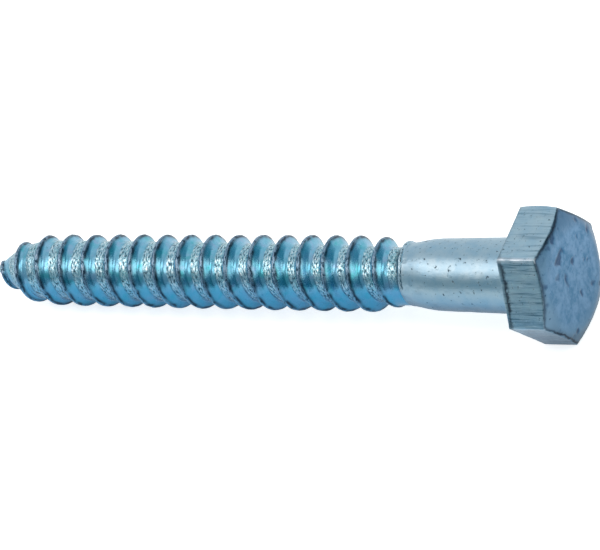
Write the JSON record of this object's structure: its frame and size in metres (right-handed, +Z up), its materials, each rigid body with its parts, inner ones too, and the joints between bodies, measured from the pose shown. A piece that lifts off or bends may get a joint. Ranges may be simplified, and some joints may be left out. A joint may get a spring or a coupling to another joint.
{
  "type": "lag screw",
  "caption": "Hexagon-head lag screw with a tapered plain shank, a coarse right-hand wood thread and a blunt point, lying on one flat of its head and on its thread.",
  "frame": {"origin": "centre of the bearing face under the head, on the screw's axis", "axes": "+X towards the head, level, with the screw's axis 2.6 degrees above it; +Z up, as the screw lies on a floor; one flat of the head faces up"},
  "size_m": [0.1076, 0.0218, 0.0193],
  "materials": {
    "zinc_plated_steel": "blue-passivated zinc plating, satin, with pits and scratches"
  },
  "bodies": {
    "root": {"lag_screw": "zinc_plated_steel"}
  },
  "joints": []
}
